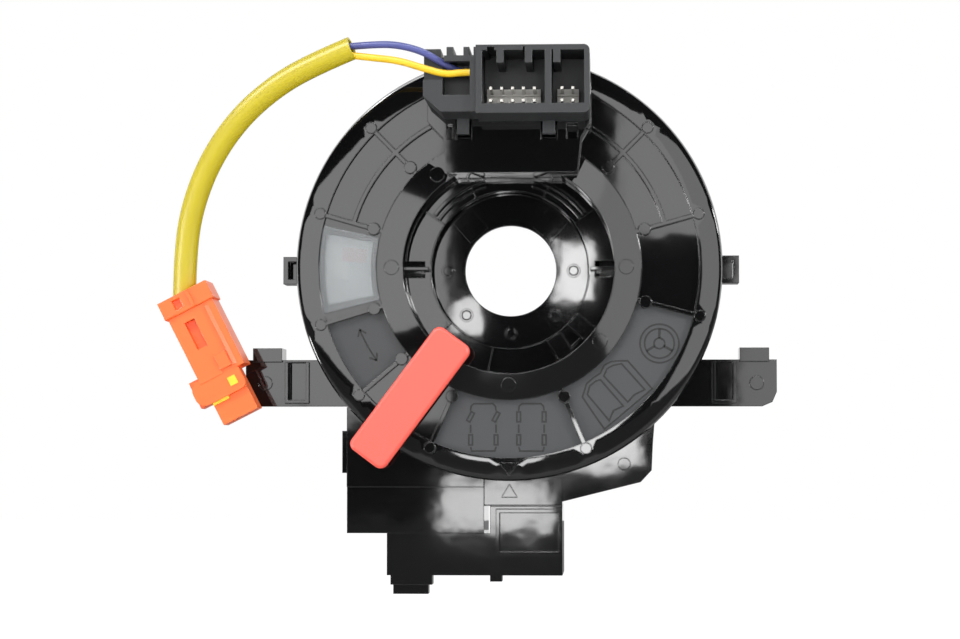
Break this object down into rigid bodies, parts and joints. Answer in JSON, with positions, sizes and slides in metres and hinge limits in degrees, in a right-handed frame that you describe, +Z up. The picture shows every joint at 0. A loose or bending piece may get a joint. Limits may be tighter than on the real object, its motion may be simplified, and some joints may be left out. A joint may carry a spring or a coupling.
{
  "type": "steering clock spring",
  "caption": "Steering clock spring: rotor disc with switch connector, airbag lead and lock tab, turning in a lugged case that holds a wound flat cable.",
  "frame": {"origin": "centre of the column bore, in the middle of its plate, on the turning axis", "axes": "+Y along the steering axis away from the driver, +Z up the face to the switch connector, +X to the driver's right"},
  "size_m": [0.1493, 0.053, 0.1336],
  "materials": {
    "black_gloss": "moulded black polyester, polished tool",
    "grey_matte": "moulded dark grey polyester, fine spark texture",
    "pale_header": "natural moulded strip",
    "tinned_contact": "tinned contact",
    "natural_moulding": "natural acetal",
    "smoked_pane": "clear moulded pane, lightly smoked",
    "clear_film": "clear polyester film",
    "ribbon_film": "laminated ribbon cable",
    "coral_tab": "moulded coral tab, satin",
    "orange_plug": "moulded orange polyester",
    "yellow_sleeve": "extruded yellow vinyl sleeve",
    "yellow_lock": "moulded yellow lock",
    "blue_wire": "extruded blue wire insulation",
    "yellow_wire": "extruded yellow wire insulation",
    "red_mark": "moulded red flag"
  },
  "bodies": {
    "stator": {"stator_case": "black_gloss", "rear_cover": "black_gloss", "main_loom_pins": "tinned_contact", "airbag_loom_pins": "tinned_contact", "stator_cable_end": "natural_moulding", "rear_slip_sheet": "clear_film"},
    "rotor": {"rotor_disc": "black_gloss", "sight_window": "smoked_pane", "front_slip_sheet": "clear_film", "switch_connector": "grey_matte", "lead_clamp": "grey_matte", "header_wide": "pale_header", "header_narrow": "pale_header", "pins_wide": "tinned_contact", "pins_narrow": "tinned_contact", "rotor_cable_end": "natural_moulding", "hub_sleeve": "black_gloss", "cancel_cam": "natural_moulding", "lead_wire_blue": "blue_wire", "lead_wire_yellow": "yellow_wire", "lead_sleeve": "yellow_sleeve", "airbag_plug_cap": "orange_plug", "airbag_plug_housing": "orange_plug", "airbag_plug_lock": "yellow_lock", "airbag_plug_contacts": "tinned_contact", "flat_cable": "ribbon_film"},
    "lock_tab": {"lock_tab": "coral_tab"},
    "carrier": {"roller_carrier": "natural_moulding", "centre_mark": "red_mark"},
    "guide_roller_1": {"guide_roller_1": "natural_moulding"},
    "guide_roller_2": {"guide_roller_2": "natural_moulding"},
    "guide_roller_3": {"guide_roller_3": "natural_moulding"},
    "guide_roller_4": {"guide_roller_4": "natural_moulding"},
    "guide_roller_5": {"guide_roller_5": "natural_moulding"},
    "guide_roller_6": {"guide_roller_6": "natural_moulding"}
  },
  "joints": [
    {"name": "rotor_turn", "type": "hinge", "parent": "stator", "child": "rotor", "pos_m": [0, 0, 0], "axis": [0, -1, 0], "range_deg": [-900, 900], "deforming": ["flat_cable"]},
    {"name": "lock_tab_pull", "type": "slide", "parent": "rotor", "child": "lock_tab", "axis": [0, -1, 0], "range_m": [0, 0.012]},
    {"name": "carrier_turn", "type": "hinge", "parent": "stator", "child": "carrier", "pos_m": [0, 0, 0], "axis": [0, -1, 0], "range_deg": [-360, 360]},
    {"name": "guide_roller_1_spin", "type": "hinge", "parent": "carrier", "child": "guide_roller_1", "pos_m": [-0.03905, 0, 0.00342], "axis": [0, -1, 0], "range_deg": [-2720, 2720]},
    {"name": "guide_roller_2_spin", "type": "hinge", "parent": "carrier", "child": "guide_roller_2", "pos_m": [-0.02248, 0, -0.03211], "axis": [0, -1, 0], "range_deg": [-2720, 2720]},
    {"name": "guide_roller_3_spin", "type": "hinge", "parent": "carrier", "child": "guide_roller_3", "pos_m": [0.01657, 0, -0.03553], "axis": [0, -1, 0], "range_deg": [-2720, 2720]},
    {"name": "guide_roller_4_spin", "type": "hinge", "parent": "carrier", "child": "guide_roller_4", "pos_m": [0.03905, 0, -0.00342], "axis": [0, -1, 0], "range_deg": [-2720, 2720]},
    {"name": "guide_roller_5_spin", "type": "hinge", "parent": "carrier", "child": "guide_roller_5", "pos_m": [0.02248, 0, 0.03211], "axis": [0, -1, 0], "range_deg": [-2720, 2720]},
    {"name": "guide_roller_6_spin", "type": "hinge", "parent": "carrier", "child": "guide_roller_6", "pos_m": [-0.01657, 0, 0.03553], "axis": [0, -1, 0], "range_deg": [-2720, 2720]}
  ],
  "couplings": [
    {"joint": "carrier_turn", "follows": "rotor_turn", "ratio": 0.39591},
    {"joint": "guide_roller_1_spin", "follows": "rotor_turn", "ratio": -3.0204},
    {"joint": "guide_roller_2_spin", "follows": "rotor_turn", "ratio": -3.0204},
    {"joint": "guide_roller_3_spin", "follows": "rotor_turn", "ratio": -3.0204},
    {"joint": "guide_roller_4_spin", "follows": "rotor_turn", "ratio": -3.0204},
    {"joint": "guide_roller_5_spin", "follows": "rotor_turn", "ratio": -3.0204},
    {"joint": "guide_roller_6_spin", "follows": "rotor_turn", "ratio": -3.0204}
  ]
}
